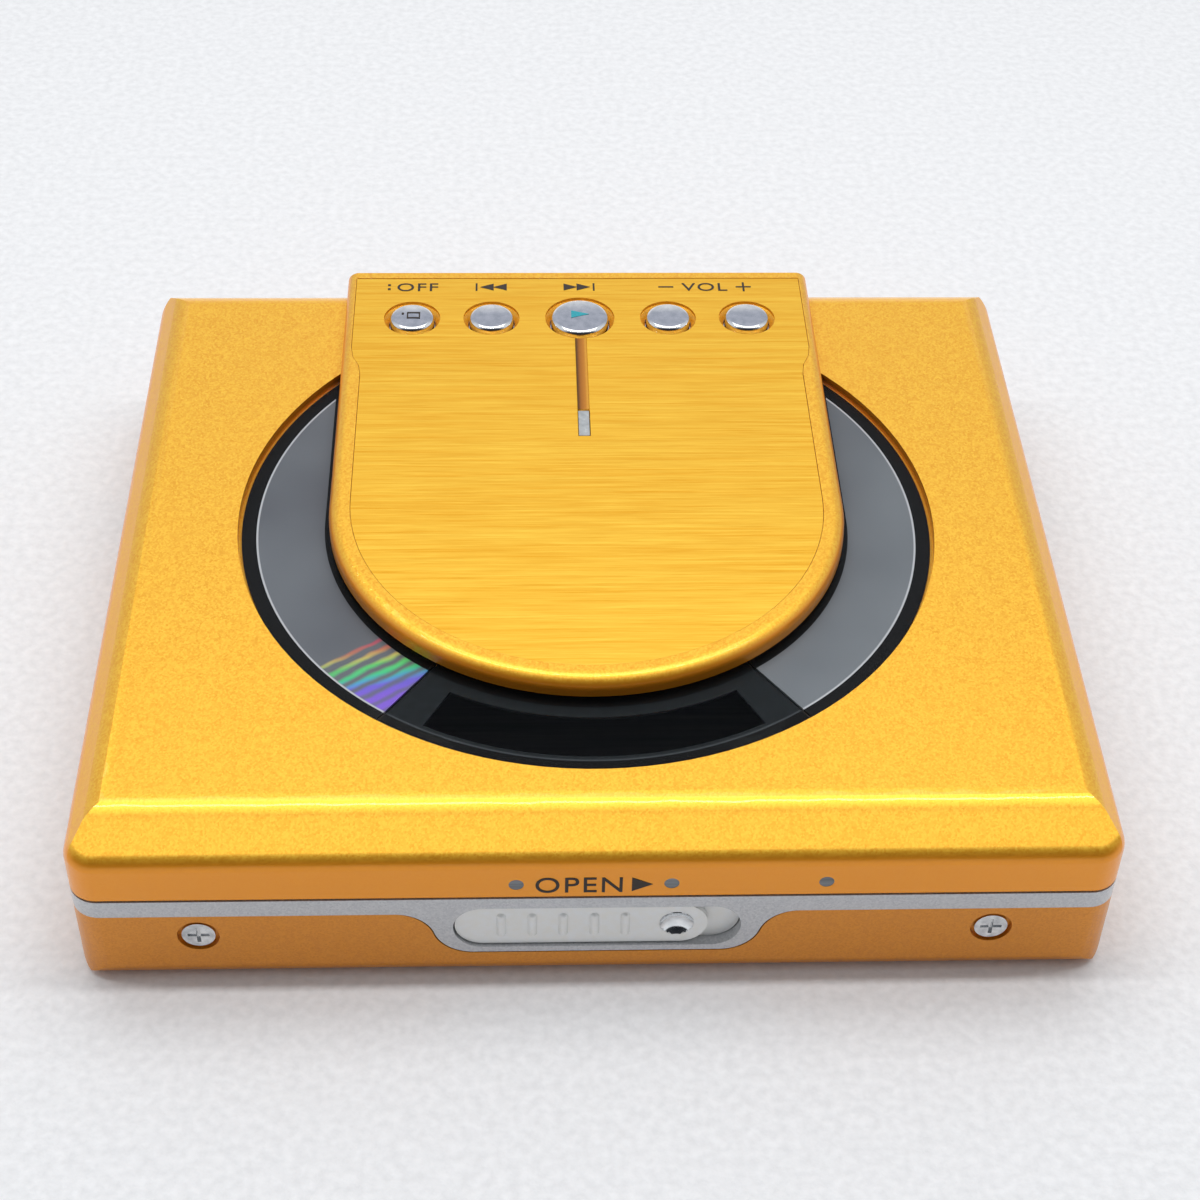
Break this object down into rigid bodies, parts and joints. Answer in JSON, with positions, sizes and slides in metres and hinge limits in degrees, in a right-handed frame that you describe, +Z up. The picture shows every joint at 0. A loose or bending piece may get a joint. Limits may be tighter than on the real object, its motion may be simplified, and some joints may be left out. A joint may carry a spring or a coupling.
{
  "type": "portable minidisc player",
  "caption": "Flat portable minidisc player with a gold hinged lid, a round window, a raised control panel and a sliding latch.",
  "frame": {"origin": "middle of the base, on the surface the player lies on", "axes": "+X to the player's right, +Y to the back where the hinge is, +Z up out of the lid"},
  "size_m": [0.084, 0.0754, 0.0188],
  "materials": {
    "gold_paint": "metallic orange-gold paint, satin",
    "gold_paint_dark": "metallic orange-gold paint, satin, a shade darker",
    "silver_frame": "silver paint, satin",
    "sheet_steel": "rolled sheet, satin",
    "bright_steel": "bright",
    "circuit_board": "solder mask, satin",
    "black_plastic": "moulded, fine grain",
    "motor_can": "plated can, satin",
    "battery_sleeve": "shrink sleeve, gloss",
    "spring_brass": "plated strip, satin",
    "satin_knob": "satin",
    "aluminium_disc": "turned",
    "magnet": "plated magnet, satin",
    "lens_glass": "coated glass, polished",
    "brushed_gold": "anodised gold with a long horizontal brush",
    "clear_window": "clear acrylic, polished",
    "silver_film": "silver print behind the window",
    "black_mask": "black print behind the window",
    "grey_lens": "translucent grey, gloss",
    "chrome_button": "satin chrome plating"
  },
  "bodies": {
    "case": {"lower_shell": "gold_paint_dark", "mid_frame": "silver_frame", "chassis": "sheet_steel", "hinge_brackets": "sheet_steel", "hinge_pins": "bright_steel", "main_board": "circuit_board", "board_chips": "black_plastic", "spindle_motor": "motor_can", "guide_rods": "bright_steel", "sled_motor": "motor_can", "battery": "battery_sleeve", "battery_contacts": "spring_brass", "headphone_jack": "black_plastic", "power_jack": "black_plastic", "front_screws": "bright_steel", "base_screws": "bright_steel"},
    "lid": {"lid_shell": "gold_paint", "lid_panel": "gold_paint", "brushed_plate": "brushed_gold", "window": "clear_window", "film_left": "silver_film", "film_right": "silver_film", "window_mask": "black_mask", "light_lens": "grey_lens", "lid_rivets": "bright_steel", "key_board": "circuit_board", "lid_ears": "gold_paint_dark", "lid_catch": "gold_paint_dark"},
    "battery_cover": {"battery_door": "gold_paint_dark"},
    "latch": {"latch_knob": "satin_knob", "latch_slide": "sheet_steel"},
    "hold": {"hold_switch": "black_plastic"},
    "spindle": {"turntable": "aluminium_disc", "spindle_hub": "magnet"},
    "pickup": {"pickup_sled": "black_plastic", "pickup_lens": "lens_glass"},
    "screw": {"lead_screw": "bright_steel"},
    "holder": {"cartridge_holder": "sheet_steel"},
    "button_off_key": {"button_off": "chrome_button"},
    "button_back_key": {"button_back": "chrome_button"},
    "button_play_key": {"button_play": "chrome_button"},
    "button_next_key": {"button_next": "chrome_button"},
    "button_level_key": {"button_level": "chrome_button"}
  },
  "joints": [
    {"name": "lid_hinge", "type": "hinge", "parent": "case", "child": "lid", "pos_m": [0, 0.0349, 0.0099], "axis": [-1, 0, 0], "range_deg": [0, 60]},
    {"name": "holder_tilt", "type": "hinge", "parent": "case", "child": "holder", "pos_m": [0, 0.0349, 0.0099], "axis": [-1, 0, 0], "range_deg": [0, 33]},
    {"name": "battery_door_slide", "type": "slide", "parent": "case", "child": "battery_cover", "axis": [-1, 0, 0], "range_m": [0, 0.012]},
    {"name": "latch_slide", "type": "slide", "parent": "case", "child": "latch", "axis": [1, 0, 0], "range_m": [0, 0.0025], "stiffness_N_per_m": 120, "springref_m": -0.002},
    {"name": "hold_slide", "type": "slide", "parent": "case", "child": "hold", "axis": [0, 1, 0], "range_m": [0, 0.0015]},
    {"name": "spindle_turn", "type": "hinge", "parent": "case", "child": "spindle", "pos_m": [0, 0.0004, 0.006], "axis": [0, 0, 1], "continuous": true},
    {"name": "pickup_slide", "type": "slide", "parent": "case", "child": "pickup", "axis": [1, 0, 0], "range_m": [0, 0.015]},
    {"name": "lead_screw_turn", "type": "hinge", "parent": "case", "child": "screw", "pos_m": [0, -0.0132, 0.0046], "axis": [1, 0, 0], "continuous": true},
    {"name": "button_off_press", "type": "slide", "parent": "lid", "child": "button_off_key", "axis": [0, 0, -1], "range_m": [0, 0.0004], "stiffness_N_per_m": 400, "springref_m": -0.0005},
    {"name": "button_back_press", "type": "slide", "parent": "lid", "child": "button_back_key", "axis": [0, 0, -1], "range_m": [0, 0.0004], "stiffness_N_per_m": 400, "springref_m": -0.0005},
    {"name": "button_play_press", "type": "slide", "parent": "lid", "child": "button_play_key", "axis": [0, 0, -1], "range_m": [0, 0.0004], "stiffness_N_per_m": 400, "springref_m": -0.0005},
    {"name": "button_next_press", "type": "slide", "parent": "lid", "child": "button_next_key", "axis": [0, 0, -1], "range_m": [0, 0.0004], "stiffness_N_per_m": 400, "springref_m": -0.0005},
    {"name": "button_level_press", "type": "slide", "parent": "lid", "child": "button_level_key", "axis": [0, 0, -1], "range_m": [0, 0.0004], "stiffness_N_per_m": 400, "springref_m": -0.0005}
  ],
  "couplings": [
    {"joint": "holder_tilt", "follows": "lid_hinge", "ratio": 0.55}
  ]
}
